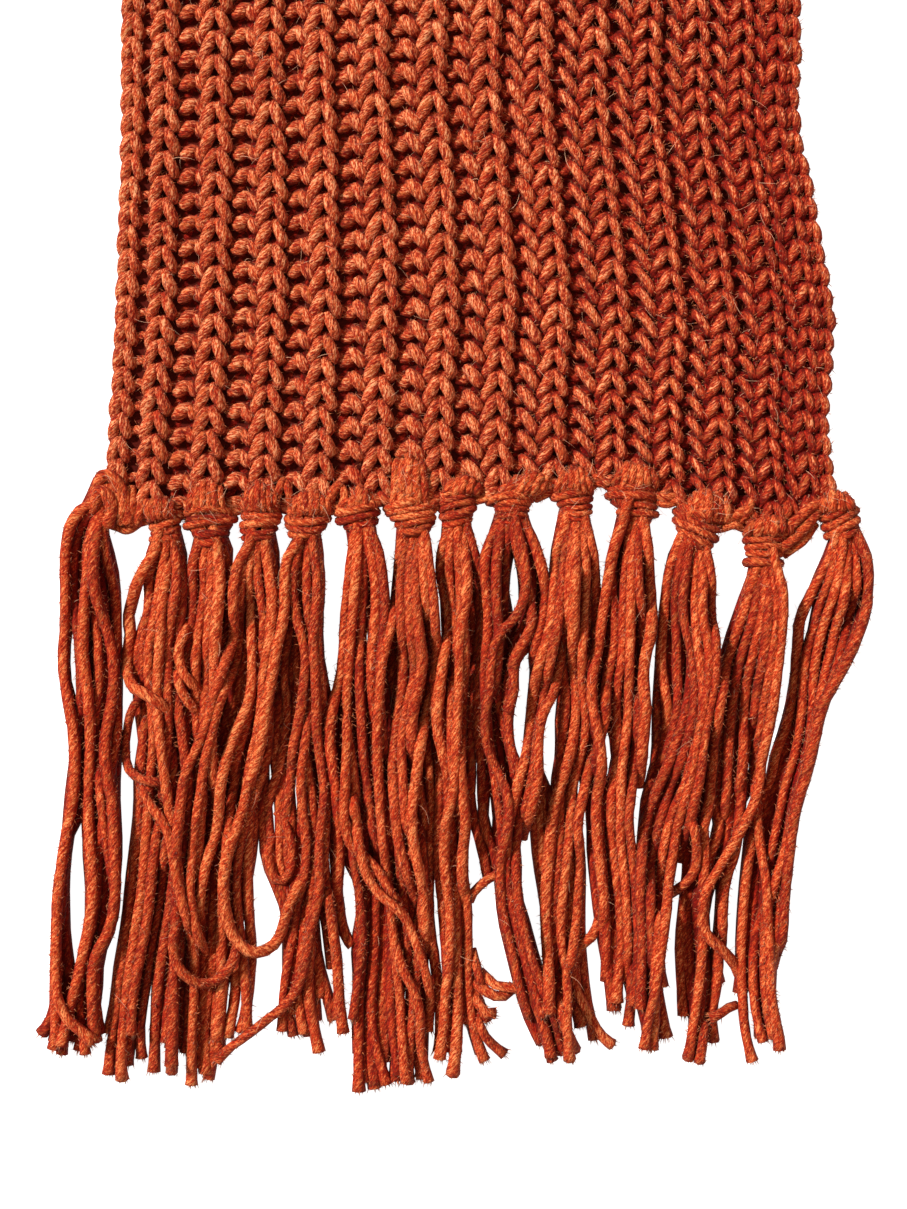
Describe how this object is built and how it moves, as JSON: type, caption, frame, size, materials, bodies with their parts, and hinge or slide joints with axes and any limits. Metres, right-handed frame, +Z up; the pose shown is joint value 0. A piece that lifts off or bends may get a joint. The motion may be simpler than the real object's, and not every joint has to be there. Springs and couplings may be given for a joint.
{
  "type": "knit scarf",
  "caption": "Chunky rib-knit scarf laid out flat: one long ribbed panel with a row of knotted yarn tassels along each end.",
  "frame": {"origin": "on the surface it lies on, under the middle of the whole scarf, fringe included", "axes": "+Y along the scarf from the loose near fringe to the far fringe, +X across it, +Z up from the surface"},
  "size_m": [0.2616, 1.68, 0.012],
  "materials": {
    "knit_wool": "heathered rust-orange chunky wool, matte and slightly fuzzy",
    "fringe_wool": "heathered rust-orange plied wool yarn, matte and slightly fuzzy"
  },
  "bodies": {
    "root": {"knit_body": "knit_wool", "tassel_near_01": "fringe_wool", "tassel_near_02": "fringe_wool", "tassel_near_03": "fringe_wool", "tassel_near_04": "fringe_wool", "tassel_near_05": "fringe_wool", "tassel_near_06": "fringe_wool", "tassel_near_07": "fringe_wool", "tassel_near_08": "fringe_wool", "tassel_near_09": "fringe_wool", "tassel_near_10": "fringe_wool", "tassel_near_11": "fringe_wool", "tassel_near_12": "fringe_wool", "tassel_near_13": "fringe_wool", "tassel_near_14": "fringe_wool", "tassel_far_01": "fringe_wool", "tassel_far_02": "fringe_wool", "tassel_far_03": "fringe_wool", "tassel_far_04": "fringe_wool", "tassel_far_05": "fringe_wool", "tassel_far_06": "fringe_wool", "tassel_far_07": "fringe_wool", "tassel_far_08": "fringe_wool", "tassel_far_09": "fringe_wool", "tassel_far_10": "fringe_wool", "tassel_far_11": "fringe_wool", "tassel_far_12": "fringe_wool", "tassel_far_13": "fringe_wool", "tassel_far_14": "fringe_wool"}
  },
  "joints": []
}
